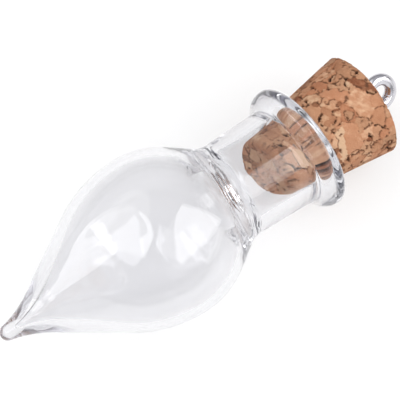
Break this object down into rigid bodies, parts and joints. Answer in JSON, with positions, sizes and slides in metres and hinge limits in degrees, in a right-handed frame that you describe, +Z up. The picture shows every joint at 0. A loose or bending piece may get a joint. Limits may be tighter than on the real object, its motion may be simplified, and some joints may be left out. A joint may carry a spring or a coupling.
{
  "type": "bottle pendant",
  "caption": "Small clear glass phial with a drop-shaped bulb and a rolled lip, closed by a tapered granulated cork that carries a wire screw eye to hang it by.",
  "frame": {"origin": "on the surface that the pendant lies on, at the middle of its length and width", "axes": "+X runs from the tail's tip to the screw eye, +Z is up, and the bottle's axis sinks by 6.4 degrees from the bulb to the lip"},
  "size_m": [0.047, 0.017, 0.0169],
  "materials": {
    "clear_glass": "clear blown glass, fire polished, smooth and glossy",
    "granulated_cork": "pressed cork granules in tan and orange brown, dry and open pored",
    "silver_wire": "bright nickel plated wire"
  },
  "bodies": {
    "bottle": {"glass_bottle": "clear_glass"},
    "stopper": {"cork": "granulated_cork", "screw_eye": "silver_wire"}
  },
  "joints": [
    {"name": "stopper_pull", "type": "slide", "parent": "bottle", "child": "stopper", "axis": [0.9943, 0.03, -0.1022], "range_m": [0, 0.015]}
  ]
}
